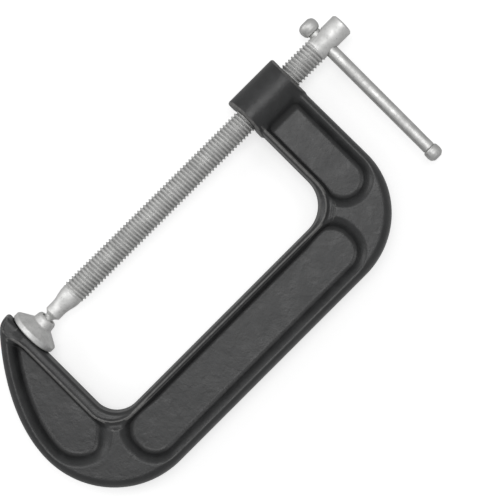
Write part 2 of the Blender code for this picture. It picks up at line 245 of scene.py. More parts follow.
GRID = 0.000535  # spacing of the casting's mesh
SEAM_LEVELS = (0.00012, 0.0003, 0.00052, 0.0008, 0.0012)  # its layers near the seam
MAP_STEP = 0.0002  # spacing of the maps of distance to its outlines
MAP_MARGIN = 0.004
SAME_POINT = 1e-8  # points of an outline that are closer than this are one point
NORMAL_REACH = 0.0003  # normals and bends are measured over this length
SURFACE_REACH = 0.00004  # the same for slopes that bring points to the surface
BEND_SCALE = 0.0009  # the radius of an edge that counts as fully bent
# painted highlight along the throat's edge, on the spine and the arm but not at the jaw's
# face
THROAT_EDGE_HIGHLIGHT = 0.38  # added to the bend on the throat's edge
THROAT_EDGE_HIGHLIGHT_START = 0.0010  # it starts this far from the bead's crest,
THROAT_EDGE_HIGHLIGHT_CHANGE = 0.0006  # is full this much further,
THROAT_EDGE_HIGHLIGHT_RISE_Y = 0.02  # and grows from nothing at the jaw's face to this height
# painted shade on the bead's crest along the spine, and painted highlight on it at the arm
# and the jaw
BEAD_PAINTED_LIGHT = (-0.50, 0.60)  # added on the bead's crest: along the spine, and off it
BEAD_CREST = 0.0005
TURNED_SIDES = 96
THREAD_SIDES = 64
BAR_SIDES = 64
FILLET_STEPS = 5
SHARP_DEG = 38.0  # edges sharper than this stay sharp
FINE_SHARP_DEG = 50.0  # the same on the thread and the pad
WELD = 2e-6  # points of the screw's parts that are closer than this are joined

# colours, and the lowest and highest roughness of each steel
ENAMEL_DARK = (0.014, 0.0145, 0.015)
ENAMEL_LIGHT = (0.021, 0.0215, 0.022)
ENAMEL_PATCH = (0.030, 0.031, 0.032)
# worn paint on convex edges, and painted highlights on the throat's edge and the bead
ENAMEL_WORN_AND_HIGHLIGHT = (0.165, 0.162, 0.158)
# painted shade in hollows and on the spine's bead
ENAMEL_PAINTED_SHADE = (0.008, 0.008, 0.0085)
THREAD_TINT, THREAD_ROUGH = (0.90, 0.90, 0.89), (0.56, 0.70)
PAD_TINT, PAD_ROUGH = (0.86, 0.86, 0.85), (0.50, 0.64)
BAR_TINT, BAR_ROUGH = (0.76, 0.76, 0.75), (0.46, 0.60)
# painted shade in the thread's roots
THREAD_ROOT_SHADE = (0.12, 0.12, 0.12)
STEEL_EDGE_TINT = (0.6, 0.6, 0.6, 1.0)  # of the steel where it is seen at a slant
FLOOR_TONES = ((0.60, 0.60, 0.60), (0.62, 0.62, 0.62))
WHITE = (1.0, 1.0, 1.0, 1.0)

# stage, where a light is its place, diameter and radiance
TOP_LIGHT = ((-0.25, 0.10, 1.7), 0.9, 4.2)
BACK_LIGHT = ((0.0, 0.85, 1.45), 0.5, 3.0)
KEY_LIGHT = ((-0.9, -0.5, 0.65), 0.7, 2.6)
WORLD_RADIANCE = 0.46
FLOOR_GLOW = 0.58
FLOOR_SIZE = 5.0
FLOOR_GAP = 0.00005  # the floor lies this far under the object

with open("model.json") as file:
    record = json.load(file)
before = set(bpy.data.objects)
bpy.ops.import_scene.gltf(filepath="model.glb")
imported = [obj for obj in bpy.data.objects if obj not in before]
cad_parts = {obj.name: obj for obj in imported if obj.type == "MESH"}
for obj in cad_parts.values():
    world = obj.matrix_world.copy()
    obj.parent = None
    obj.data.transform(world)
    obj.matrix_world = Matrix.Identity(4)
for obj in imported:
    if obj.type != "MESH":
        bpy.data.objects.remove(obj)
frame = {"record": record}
CAD_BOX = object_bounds()


# ---------------------------------------------------------------- outlines


def arc(centre, radii, start_deg, end_deg, step_deg=1.5):
    """Points on an elliptical arc, both ends included."""
    steps = max(2, round(abs(end_deg - start_deg) / step_deg))
    points = []
    for i in range(steps + 1):
        angle = math.radians(start_deg + (end_deg - start_deg) * i / steps)
        x = centre[0] + radii[0] * math.cos(angle)
        y = centre[1] + radii[1] * math.sin(angle)
        points.append((x, y))
    return points


def bezier(p0, p1, p2, p3, steps):
    """Points inside a cubic Bezier curve, without its two ends."""
    points = []
    for i in range(1, steps):
        t = i / steps
        weights = ((1 - t) ** 3, 3 * t * (1 - t) ** 2, 3 * t * t * (1 - t), t**3)
        x = sum(w * p[0] for w, p in zip(weights, (p0, p1, p2, p3)))
        y = sum(w * p[1] for w, p in zip(weights, (p0, p1, p2, p3)))
        points.append((x, y))
    return points


def frame_outline():
    """The casting's outline at the parting plane."""
    high_centre = (SPINE_OUTER_X - OUTER_HIGH_RADII[0], OUTER_HIGH_Y)
    low_centre = (JAW_BOTTOM[0], JAW_BOTTOM[1] + OUTER_LOW_RADII[1])
    tip_radii = (JAW_TIP_RADIUS, JAW_TIP_RADIUS)
    tip_centre = (JAW_TIP_X + JAW_TIP_RADIUS, -JAW_TIP_RADIUS)
    inner_low = (SPINE_INNER_X - INNER_LOW_RADIUS, INNER_LOW_RADIUS)
    inner_high = (SPINE_INNER_X - INNER_HIGH_RADIUS, ARM_UNDER_Y - INNER_HIGH_RADIUS)
    tip_low = (JAW_TIP_X, -JAW_TIP_RADIUS)
    points = [(ARM_END_X, ARM_TOP_Y)]
    points += arc(high_centre, OUTER_HIGH_RADII, 90, 0)
    points += arc(low_centre, OUTER_LOW_RADII, 0, -90)
    points += bezier(JAW_BOTTOM, *HORN_HANDLES, NOSE, 60)
    points += [NOSE]
    points += bezier(NOSE, *NOSE_HANDLES, tip_low, 10)
    points += arc(tip_centre, tip_radii, 180, 90, 9)
    points += arc(inner_low, (INNER_LOW_RADIUS, INNER_LOW_RADIUS), -90, 0, 3)
    points += arc(inner_high, (INNER_HIGH_RADIUS, INNER_HIGH_RADIUS), 0, 90, 3)
    points += [(ARM_END_X, ARM_UNDER_Y)]
    return points


def throat_side():
    """The bead's line, closed round the side of it where the throat is."""
    low, high = (BEAD_LOW_RADIUS,) * 2, (BEAD_HIGH_RADIUS,) * 2
    points = [(THROAT_SIDE_X, BEAD_ARM_Y)]
    points += arc((BEAD_SPINE_X - high[0], BEAD_ARM_Y - high[0]), high, 90, 0)
    points += arc((BEAD_SPINE_X - low[0], BEAD_JAW_Y + low[0]), low, 0, -90)
    points += [(BEAD_BEND_X, BEAD_JAW_Y), (BEAD_TIP_X, BEAD_JAW_Y - BEAD_TIP_DROP)]
    points += [(THROAT_SIDE_X, BEAD_JAW_Y - BEAD_TIP_DROP)]
    return points


# A pocket's outline is its mouth. It reaches past the bead, which bounds the pocket.


def arm_pocket():
    """The upper arm's pocket: straight sides from inside the boss to one round end."""
    low, high, end_x = 0.1138, 0.1327, 0.0503
    radius = (high - low) / 2
    points = [(ARM_POCKET_START_X, high)]
    points += arc((end_x - radius, low + radius), (radius, radius), 90, -90)
    points += [(ARM_POCKET_START_X, low)]
    return points


def spine_pocket():
    """The spine's pocket: a long rectangle with large round corners."""
    left, right, low, high, radius = 0.0460, 0.0680, -0.0024, 0.1119, 0.0100
    radii = (radius, radius)
    points = arc((left + radius, high - radius), radii, 180, 90)
    points += arc((right - radius, high - radius), radii, 90, 0)
    points += arc((right - radius, low + radius), radii, 0, -90)
    points += arc((left + radius, low + radius), radii, -90, -180)
    return points


def jaw_pocket():
    """The lower jaw's pocket: round at the spine and curved like the horn below."""
    top_y, right_x, radius, bottom = -0.0016, 0.0497, 0.0092, (0.037, -0.0240)
    end_radii = (right_x - bottom[0], top_y - radius - bottom[1])
    points = arc((right_x - radius, top_y - radius), (radius, radius), 90, 0)
    points += arc((bottom[0], top_y - radius), end_radii, 0, -90)[1:]
    points += bezier(bottom, *JAW_POCKET_HANDLES, JAW_POCKET_TIP, 40)
    points += [JAW_POCKET_TIP, (JAW_POCKET_TIP[0], top_y)]
    return points


# ------------------------------------------------------- the casting's field


def outline_distance(x, y, outline):
    """Distance to a closed outline, negative inside it."""
    nearest = np.full(x.shape, np.inf)
    inside = np.zeros(x.shape, dtype=bool)
    for (ax, ay), (bx, by) in zip(outline, outline[1:] + outline[:1]):
        ex, ey = bx - ax, by - ay
        length = ex * ex + ey * ey
        if length < SAME_POINT**2:
            continue
        px, py = x - ax, y - ay
        t = np.clip((px * ex + py * ey) / length, 0.0, 1.0)
        nearest = np.minimum(nearest, (px - t * ex) ** 2 + (py - t * ey) ** 2)
        if ay != by:
            spans = (y >= min(ay, by)) & (y < max(ay, by))
            inside ^= spans & (x < ax + (y - ay) * ex / ey)
    return np.where(inside, -1.0, 1.0) * np.sqrt(nearest)


def round_edge(a, b, across, down):
    """The overlap of two fields, with its outer edge rounded by two radii."""
    u, v = a / across + 1.0, b / down + 1.0
    rounded = np.hypot(np.maximum(u, 0.0), np.maximum(v, 0.0))
    deep = np.minimum(np.maximum(u, v), 0.0)
    return (deep + rounded - 1.0) * np.minimum(across, down)


def mixed(share, first, second):
    """The first value at a share of 0 or less, and the second at 1 or more."""
    return first + (second - first) * np.clip(share, 0.0, 1.0)


def jaw_run(x, y):
    """How far the jaw pocket's outer wall runs in: much further on its ramp."""
    off = ((x - RAMP_PLACE[0]) ** 2 + (y - RAMP_PLACE[1]) ** 2) / RAMP_REACH**2
    return POCKET_OUTER_RUN + RAMP_RUN * np.exp(-off)


def off_spine(y):
    """0 or less along the spine, and 1 or more at the arm and the jaw."""
    return (np.abs(y - SPINE_MIDDLE_Y) - SPINE_HALF_LENGTH) / SPINE_END_LENGTH


def cut_pocket(field, h, mouth, throat, outer_run, throat_run):
    """Cuts a pocket: gentle walls inside its mouth, and a steep one beside the bead.

    round_edge reaches further over a wall that leans more, so its lip is sharper.
    """
    part = (HALF_DEPTH - h) / POCKET_DEPTH
    steepness = 1.0 / np.hypot(1.0, outer_run / POCKET_DEPTH)
    outer = (mouth + part * outer_run) * steepness
    steep = POCKET_MOUTH + part * throat_run - throat
    by_bead = (steep - outer) / WALL_CHANGE + 0.5
    lip = mixed(by_bead, OUTER_LIP * steepness**2, THROAT_LIP)
    foot = mixed(by_bead, OUTER_FOOT, THROAT_FOOT)
    hollow = round_edge(outer, steep, POCKET_CORNER, POCKET_CORNER)
    hollow = round_edge(hollow, POCKET_FLOOR_Z - h, foot, foot)
    return round_edge(field, -hollow, lip, lip)


def casting_field(x, y, z, outline, throat, arm, spine, jaw):
    """Below zero inside the casting.

    outline, throat, arm, spine and jaw are distances in the parting plane.
    """
    h = np.abs(z)
    seam = SEAM_PROUD * (1.0 - np.exp(-((h / SEAM_HALF_WIDTH) ** 2)))
    sides = (outline + h * math.tan(DRAFT) + seam) * math.cos(DRAFT)

    bead_low_x, bead_full_x = BEAD_END_X
    risen = np.clip((x - bead_low_x) / (bead_full_x - bead_low_x), 0.0, 1.0)
    strip = 1.0 - np.exp(-((np.minimum(throat, 0.0) / BEAD_HALF_WIDTH) ** 2))
    top = h - HALF_DEPTH + BEAD_HEIGHT * strip * risen
    on_throat = 0.5 - throat / RIM_CHANGE
    across = mixed(on_throat, RIM_ROUND[0], THROAT_ROUND[0])
    down = mixed(on_throat, RIM_ROUND[1], THROAT_ROUND[1])
    field = round_edge(sides, top, across, down)

    beside_bead = mixed(off_spine(y), SPINE_BEAD_RUN, ARM_BEAD_RUN)
    field = cut_pocket(field, h, arm, throat, POCKET_OUTER_RUN, beside_bead)
    field = cut_pocket(field, h, spine, throat, POCKET_OUTER_RUN, beside_bead)
    field = cut_pocket(field, h, jaw, throat, jaw_run(x, y), beside_bead)
    rise = mixed(y / BEAD_ARM_Y, *GROOVE_RISE)
    from_groove = np.hypot(throat - GROOVE_OFFSET, h - HALF_DEPTH - rise)
    outside = GROOVE_RADIUS * risen - from_groove
    field = round_edge(field, outside, GROOVE_EDGE, GROOVE_EDGE)

    rho = np.hypot(x, z)
    fall = h * math.tan(DRAFT)
    high_end, low_end = y - BOSS_HIGH_Y + fall, BOSS_LOW_Y - y + fall
    boss = round_edge(rho - BOSS_RADIUS + seam, high_end, BOSS_EDGE, BOSS_EDGE)
    boss = round_edge(boss, low_end, BOSS_EDGE, BOSS_EDGE)
    # the fillet narrows where the arm's sides run into the boss's ends
    inwards = (-outline - BOSS_FILLET_START) / BOSS_FILLET_CHANGE
    radius = mixed(inwards, *BOSS_FILLETS)
    field = -round_edge(-field, -boss, radius, radius)
    bore = np.minimum(BORE_RADIUS - rho, y - BORE_LOW_Y)
    return round_edge(field, bore, BORE_EDGE, BORE_EDGE)


class Casting:
    """The casting's field at any points, with its slopes."""

    def __init__(self):
        outlines = (frame_outline(), throat_side())
        outlines += (arm_pocket(), spine_pocket(), jaw_pocket())
        self.low = np.array([JAW_TIP_X - MAP_MARGIN, JAW_BOTTOM[1] - MAP_MARGIN])
        high = np.array([SPINE_OUTER_X, BOSS_HIGH_Y]) + MAP_MARGIN
        self.counts = np.ceil((high - self.low) / MAP_STEP).astype(int)
        xs = self.low[0] + MAP_STEP * np.arange(self.counts[0] + 1)
        ys = self.low[1] + MAP_STEP * np.arange(self.counts[1] + 1)
        x, y = np.meshgrid(xs, ys, indexing="ij")
        self.maps = [outline_distance(x, y, outline) for outline in outlines]

    def plane(self, x, y):
        """The distances to all outlines, read between the points of their maps."""
        u, v = (x - self.low[0]) / MAP_STEP, (y - self.low[1]) / MAP_STEP
        i = np.clip(np.floor(u).astype(int), 0, self.counts[0] - 1)
        j = np.clip(np.floor(v).astype(int), 0, self.counts[1] - 1)
        u, v = u - i, v - j
        read = []
        for distances in self.maps:
            near = distances[i, j] * (1 - u) + distances[i + 1, j] * u
            far = distances[i, j + 1] * (1 - u) + distances[i + 1, j + 1] * u
            read.append(near * (1 - v) + far * v)
        return read

    def at(self, x, y, z):
        """The field at points."""
        return casting_field(x, y, z, *self.plane(x, y))

    def slopes(self, points, reach):
        """The field, its slope and its Laplacian at points, from steps of reach."""
        middle = self.at(*points.T)
        ahead, behind = np.zeros(points.shape), np.zeros(points.shape)
        for axis in range(3):
            step = np.zeros(3)
            step[axis] = reach
            ahead[:, axis] = self.at(*(points + step).T)
            behind[:, axis] = self.at(*(points - step).T)
        slope = (ahead - behind) / (2 * reach)
        bend = (ahead + behind).sum(axis=1) / reach**2 - 6 * middle / reach**2
        return middle, slope, bend


def height_levels():
    """Heights of the grid's layers: close together at the parting line."""
    near = list(SEAM_LEVELS)
    far = list(np.arange(near[-1] + GRID, BOSS_RADIUS + 2 * GRID, GRID))
    half = near + far
    return np.array([-h for h in reversed(half)] + half)


def surface_net(field, axes):
    """A closed quad mesh where a sampled field crosses zero."""
    inside = field < 0.0
    cells = tuple(n - 1 for n in field.shape)
    total = np.zeros(cells + (3,))
    count = np.zeros(cells, dtype=np.int64)
    crossings = []
    for axis in range(3):
        low = [slice(None)] * 3
        high = [slice(None)] * 3
        low[axis], high[axis] = slice(None, -1), slice(1, None)
        low, high = tuple(low), tuple(high)
        where = np.argwhere(inside[low] != inside[high])
        i, j, k = where.T
        before = field[low][i, j, k]
        after = field[high][i, j, k]
        t = before / (before - after)
        place = np.stack([axes[a][where[:, a]] for a in range(3)], axis=1)
        gap = axes[axis][where[:, axis] + 1] - axes[axis][where[:, axis]]
        place[:, axis] += t * gap
        u, v = (axis + 1) % 3, (axis + 2) % 3
        around = []
        for du, dv in ((0, 0), (-1, 0), (-1, -1), (0, -1)):
            cell = where.copy()
            cell[:, u] += du
            cell[:, v] += dv
            np.add.at(total, tuple(cell.T), place)
            np.add.at(count, tuple(cell.T), 1)
            around.append(cell)
        crossings.append((around, inside[low][i, j, k]))
    used = count > 0
    number = np.full(cells, -1, dtype=np.int64)
    number[used] = np.arange(used.sum())
    points = total[used] / count[used][:, None]
    quads = []
    for around, starts_inside in crossings:
        corners = np.stack([number[tuple(cell.T)] for cell in around], axis=1)
        quads.append(np.where(starts_inside[:, None], corners, corners[:, ::-1]))
    return points, np.concatenate(quads)


def relax(points, quads, casting, rounds):
    """Evens out the quads, keeping every point on the casting's surface."""
    pairs = np.concatenate([quads[:, [i, (i + 1) % 4]] for i in range(4)])
    for step in range(rounds + 1):
        if step:
            total = np.zeros(points.shape)
            count = np.zeros(len(points))
            np.add.at(total, pairs[:, 0], points[pairs[:, 1]])
            np.add.at(count, pairs[:, 0], 1)
            points = points + 0.5 * (total / count[:, None] - points)
        for _ in range(2):
            value, slope, _ = casting.slopes(points, SURFACE_REACH)
            size = np.maximum((slope**2).sum(axis=1), 0.1)
            move = slope * (value / size)[:, None]
            length = np.linalg.norm(move, axis=1)
            limit = np.minimum(1.0, 0.5 * GRID / np.maximum(length, 1e-12))
            points = points - move * limit[:, None]
    return points


# ------------------------------------------------------------ turned pieces


def filleted(profile):
    """A profile of (radius, height, rounding) corners with each corner rounded."""
    points = []
    last = len(profile) - 1
    for i, (r, z, rounding) in enumerate(profile):
        if rounding <= 0.0 or i in (0, last):
            points.append((r, z))
            continue
        here = Vector((r, z))
        back = Vector(profile[i - 1][:2]) - here
        on = Vector(profile[i + 1][:2]) - here
        half = back.angle(on) / 2
        reach = min(rounding / math.tan(half), 0.48 * back.length, 0.48 * on.length)
        start = here + back.normalized() * reach
        end = here + on.normalized() * reach
        for step in range(FILLET_STEPS + 1):
            t = step / FILLET_STEPS
            point = start * (1 - t) ** 2 + here * 2 * t * (1 - t) + end * t * t
            points.append((point.x, point.y))
    return points


def ring(bm, radius, height, sides):
    """One ring of points about Y, or a single point on the axis."""
    if radius < 1e-7:
        return [bm.verts.new((0.0, height, 0.0))]
    made = []
    for i in range(sides):
        angle = 2 * math.pi * i / sides
        x, z = radius * math.sin(angle), radius * math.cos(angle)
        made.append(bm.verts.new((x, height, z)))
    return made


def bridge(bm, first, second):
    """Faces between two rings, either of which may be a single point."""
    sides = max(len(first), len(second))
    for i in range(sides):
        j = (i + 1) % sides
        corners = [first[i % len(first)], first[j % len(first)]]
        corners += [second[j % len(second)], second[i % len(second)]]
        unique = [v for n, v in enumerate(corners) if v not in corners[:n]]
        bm.faces.new(unique)


def lathe(bm, profile, sides):
    """Turns a (radius, height) profile about Y. Returns its first and last ring."""
    rings = [ring(bm, r, y, sides) for r, y in profile]
    for first, second in zip(rings, rings[1:]):
        bridge(bm, first, second)
    return rings[0], rings[-1]


def to_object(name, bm, sharp_deg=SHARP_DEG):
    """Makes an object of a mesh, smooth except along edges sharper than an angle."""
    bmesh.ops.recalc_face_normals(bm, faces=bm.faces)
    for face in bm.faces:
        face.smooth = True
    for edge in bm.edges:
        edge.smooth = edge.calc_face_angle(0.0) < math.radians(sharp_deg)
    mesh = bpy.data.meshes.new(name)
    bm.to_mesh(mesh)
    bm.free()
    made = bpy.data.objects.new(name, mesh)
    bpy.context.scene.collection.objects.link(made)
    return made


def turned(name, profile, sides=TURNED_SIDES):
    """A piece turned about Y from a profile of (radius, height, rounding) corners."""
    bm = bmesh.new()
    lathe(bm, filleted(profile), sides)
    return to_object(name, bm)


def turn_to(axis, origin):
    """The matrix that stands a piece turned about Y along an axis from an origin."""
    turn = Vector((0, 1, 0)).rotation_difference(Vector(axis)).to_matrix().to_4x4()
    return Matrix.Translation(origin) @ turn


# ------------------------------------------------------------------- pieces


def wear_and_painted_light(points, throat, bend):
    """Worn paint and painted highlight, up to 1, or painted shade, down to -1, at points:
    mostly their bend.
    """
    y = points[:, 1]
    in_throat = np.clip((-throat - THROAT_EDGE_HIGHLIGHT_START) / THROAT_EDGE_HIGHLIGHT_CHANGE, 0.0, 1.0)
    # painted highlight on the throat's edge, growing from nothing at the jaw's face
    throat_highlight = in_throat * np.clip(y / THROAT_EDGE_HIGHLIGHT_RISE_Y, 0.0, 1.0)
    # painted highlight on the bead's crest at the arm and the jaw, painted shade on it
    # along the spine
    bead_light = np.exp(-((throat / BEAD_CREST) ** 2)) * mixed(off_spine(y), *BEAD_PAINTED_LIGHT)
    painted_light = THROAT_EDGE_HIGHLIGHT * throat_highlight + bead_light
    return np.clip(bend * BEND_SCALE + painted_light, -1.0, 1.0)


def make_casting(origin):
    """The frame: one closed mesh of its field, with its normals, its wear, and its painted
    highlights and shade.
    """
    casting = Casting()
    xs = np.arange(JAW_TIP_X - 2 * GRID, SPINE_OUTER_X + 2 * GRID, GRID)
    ys = np.arange(JAW_BOTTOM[1] - 2 * GRID, BOSS_HIGH_Y + 3 * GRID, GRID)
    zs = height_levels()
    x, y = np.meshgrid(xs, ys, indexing="ij")
    distances = [distance[:, :, None] for distance in casting.plane(x, y)]
    field = casting_field(x[:, :, None], y[:, :, None], zs[None, None, :], *distances)
    points, quads = surface_net(field, (xs, ys, zs))
    points = relax(points, quads, casting, 2)
    _, slope, bend = casting.slopes(points, NORMAL_REACH)
    normals = slope / np.linalg.norm(slope, axis=1)[:, None]
    mesh = bpy.data.meshes.new("clamp_casting")
    mesh.from_pydata((points + np.array(origin)).tolist(), [], quads.tolist())
    mesh.polygons.foreach_set("use_smooth", [True] * len(mesh.polygons))
    mesh.normals_split_custom_set_from_vertices(normals.tolist())
    throat = casting.plane(points[:, 0], points[:, 1])[1]
    # the bend attribute holds the wear, and the painted highlights and shade, that the
    # enamel reads
    stored = mesh.attributes.new("bend", "FLOAT", "POINT")
    stored.data.foreach_set("value", wear_and_painted_light(points, throat, bend).astype(np.float32))
    made = bpy.data.objects.new("clamp_casting", mesh)
    bpy.context.scene.collection.objects.link(made)
    return made


def add_thread(bm, low_y, high_y, low_radius, high_radius):
    """A right-hand helical thread that fades out at both ends."""
    depth = CREST_RADIUS - ROOT_RADIUS
    radii = [ROOT_RADIUS + depth * height for height in THREAD_HEIGHTS]
    lines = len(THREAD_PARTS)
    turns = math.ceil((high_y - low_y) / PITCH) + 2
    grid = []
    for turn in range(turns):
        for part, full_radius in zip(THREAD_PARTS, radii):
            row = []
            for i in range(THREAD_SIDES):
                angle = 2 * math.pi * i / THREAD_SIDES
                y = low_y + PITCH * (turn - 1 + part + i / THREAD_SIDES)
                y = min(max(y, low_y), high_y)
                low = min((y - low_y) / THREAD_FADES[0], 1.0)
                high = min((high_y - y) / THREAD_FADES[1], 1.0)
                radius = low_radius + (full_radius - low_radius) * low
                radius = high_radius + (radius - high_radius) * high
                x, z = radius * math.sin(angle), radius * math.cos(angle)
                row.append(bm.verts.new((x, y, z)))
            grid.append(row)
    for k in range(len(grid) - lines - 1):
        row, above = grid[k], grid[k + 1]
        for i in range(THREAD_SIDES - 1):
            bm.faces.new((row[i], row[i + 1], above[i + 1], above[i]))
        # a turn on, each row goes on as the row one pitch higher
        on, above_on = grid[k + lines], grid[k + lines + 1]
        bm.faces.new((row[-1], on[0], above_on[0], above[-1]))


def make_head():
    """The screw's head with its cross hole, open where the thread begins."""
    bm = bmesh.new()
    profile = filleted(HEAD_PROFILE)
    for i in range(1, HEAD_STEPS + 1):
        y = HEAD_LOW_Y + (THREAD_HIGH_Y - HEAD_LOW_Y) * i / HEAD_STEPS
        profile.append((HEAD_RADIUS, y))
    profile.append((0.0, THREAD_HIGH_Y))
    lathe(bm, profile, THREAD_SIDES)
    head = to_object("head_blank", bm)
    cutter_bm = bmesh.new()
    reach, straight = HEAD_RADIUS + HOLE_REACH, HEAD_RADIUS - HOLE_FLARE_DEPTH
    flare = [(0.0, reach), (HOLE_FLARE_RADIUS, reach), (BAR_HOLE_RADIUS, straight)]
    flare += [(r, -y) for r, y in reversed(flare)]
    lathe(cutter_bm, flare, HOLE_SIDES)
    cutter = to_object("hole_blank", cutter_bm)
    cutter.data.transform(turn_to((1, 0, 0), (0, BAR_Y, 0)))
    cut = head.modifiers.new("hole", "BOOLEAN")
    cut.operation = "DIFFERENCE"
    cut.solver = "EXACT"
    cut.object = cutter
    shape = bpy.data.meshes.new_from_object(
        head.evaluated_get(bpy.context.evaluated_depsgraph_get())
    )
    for blank in (head, cutter):
        bpy.data.objects.remove(blank)
    return shape


def mark_roots(screw):
    """Stores how deep each point lies in the thread, from 0, a crest, to 1, a root."""
    depths = []
    for vert in screw.data.vertices:
        x, y, z = vert.co
        depth = (CREST_RADIUS - math.hypot(x, z)) / (CREST_RADIUS - ROOT_RADIUS)
        on_thread = THREAD_LOW_Y + PITCH < y < THREAD_HIGH_Y - PITCH
        depths.append(min(max(depth, 0.0), 1.0) if on_thread else 0.0)
    # the thread's material paints shade into the roots from these depths
    root = screw.data.attributes.new("root", "FLOAT", "POINT")
    root.data.foreach_set("value", depths)


def make_screw(origin):
    """The screw in one mesh: head, thread, flare, shank, neck and ball."""
    bm = bmesh.new()
    bm.from_mesh(make_head())
    low_face = []
    for face in bm.faces:
        if all(abs(v.co.y - THREAD_HIGH_Y) < 1e-6 for v in face.verts):
            low_face.append(face)
    bmesh.ops.delete(bm, geom=low_face, context="FACES")
    loose = [v for v in bm.verts if not v.link_faces]
    bmesh.ops.delete(bm, geom=loose, context="VERTS")
    add_thread(bm, THREAD_LOW_Y, THREAD_HIGH_Y, FLARE_TOP_RADIUS, HEAD_RADIUS)
    profile = [(FLARE_TOP_RADIUS, THREAD_LOW_Y)]
    for step in range(FLARE_STEPS + 1):
        t = 1 - step / FLARE_STEPS
        y = SHANK_HIGH_Y + t * (THREAD_LOW_Y - FLARE_GAP - SHANK_HIGH_Y)
        widening = t * t * (3 - 2 * t)
        profile.append((SHANK_RADIUS + widening * (FLARE_TOP_RADIUS - SHANK_RADIUS), y))
    profile += filleted(NECK_PROFILE)
    neck_deg = math.degrees(math.acos(NECK_RADIUS / BALL_RADIUS))
    ball = (BALL_RADIUS, BALL_RADIUS)
    profile += arc((0.0, BALL_Y), ball, neck_deg, BALL_LAST_DEG, BALL_STEP_DEG)
    profile += [(0.0, BALL_Y - BALL_RADIUS)]
    lathe(bm, profile, THREAD_SIDES)
    bmesh.ops.remove_doubles(bm, verts=bm.verts, dist=WELD)
    made = to_object("threaded_screw", bm, FINE_SHARP_DEG)
    mark_roots(made)
    made.data.transform(Matrix.Translation(origin))
    return made


def make_pad(origin):
    """The swivel pad about the screw's ball: socket, closed lip, hub and cone."""
    mouth_deg = math.degrees(math.acos(HUB_MOUTH_RADIUS / SOCKET_RADIUS))
    profile = [(0.0, -SOCKET_RADIUS)]
    socket = (SOCKET_RADIUS, SOCKET_RADIUS)
    profile += arc((0.0, 0.0), socket, BALL_LAST_DEG, mouth_deg, BALL_STEP_DEG)
    bm = bmesh.new()
    lathe(bm, profile + filleted(PAD_PROFILE), TURNED_SIDES)
    made = to_object("turned_pad", bm, FINE_SHARP_DEG)
    place = Matrix.Translation(Vector(origin) + Vector((0, BALL_Y, 0)))
    made.data.transform(place @ Matrix.Rotation(PAD_TILT, 4, "X"))
    return made


def lay_on_bar(made, origin, x):
    """Lays a turned piece along the bar's axis, from x on."""
    made.data.transform(turn_to((1, 0, 0), Vector(origin) + Vector((x, BAR_Y, 0))))


def make_bar(origin):
    """The bar, with a thinner spigot inside each stop."""
    made = turned("sliding_bar", BAR_PROFILE, BAR_SIDES)
    lay_on_bar(made, origin, 0)
    return made


def make_knob(origin):
    """The barrel pressed on the bar's short end."""
    made = turned("end_knob", KNOB_PROFILE)
    lay_on_bar(made, origin, KNOB_SPAN[0])
    return made


def make_cap(origin):
    """The smaller stop swaged on the bar's long end."""
    made = turned("end_cap", CAP_PROFILE)
    lay_on_bar(made, origin, CAP_SPAN[0])
    return made


# ---------------------------------------------------------------- materials


class Nodes:
    """Short calls for building a node material."""

    def __init__(self, name):
        self.material = bpy.data.materials.new(name)
        self.material.use_nodes = True
        self.tree = self.material.node_tree
        self.shader = self.tree.nodes["Principled BSDF"]
        self.place = self.add("ShaderNodeTexCoord").outputs["Object"]

    def add(self, kind, **settings):
        node = self.tree.nodes.new(kind)
        for key, value in settings.items():
            setattr(node, key, value)
        return node

    def link(self, source, target):
        self.tree.links.new(source, target)

    def scaled(self, factors):
        node = self.add("ShaderNodeMapping")
        node.inputs["Scale"].default_value = factors
        self.link(self.place, node.inputs["Vector"])
        return node.outputs["Vector"]

    def noise(self, scale, detail=3.0, rough=0.5, place=None):
        node = self.add("ShaderNodeTexNoise")
        self.link(place or self.place, node.inputs["Vector"])
        node.inputs["Scale"].default_value = scale
        node.inputs["Detail"].default_value = detail
        node.inputs["Roughness"].default_value = rough
        return node.outputs["Fac"]

    def span(self, source, low, high, to_low=0.0, to_high=1.0):
        node = self.add("ShaderNodeMapRange", clamp=True)
        self.link(source, node.inputs["Value"])
        node.inputs["From Min"].default_value = low
        node.inputs["From Max"].default_value = high
        node.inputs["To Min"].default_value = to_low
        node.inputs["To Max"].default_value = to_high
        return node.outputs["Result"]

    def maths(self, operation, a, b):
        node = self.add("ShaderNodeMath", operation=operation)
        for socket, value in zip(node.inputs, (a, b)):
            if isinstance(value, (int, float)):
                socket.default_value = value
            else:
                self.link(value, socket)
        return node.outputs["Value"]

    def blend(self, amount, first, second):
        node = self.add("ShaderNodeMix", data_type="RGBA")
        self.link(amount, node.inputs["Factor"])
        sockets = [s for s in node.inputs if s.type == "RGBA"]
        for socket, value in zip(sockets, (first, second)):
            if isinstance(value, tuple):
                socket.default_value = (*value, 1.0)
            else:
                self.link(value, socket)
        return [s for s in node.outputs if s.type == "RGBA"][0]

    def bump(self, height, distance, strength, normal=None):
        node = self.add("ShaderNodeBump")
        node.inputs["Strength"].default_value = strength
        node.inputs["Distance"].default_value = distance
        self.link(height, node.inputs["Height"])
        if normal is not None:
            self.link(normal, node.inputs["Normal"])
        return node.outputs["Normal"]


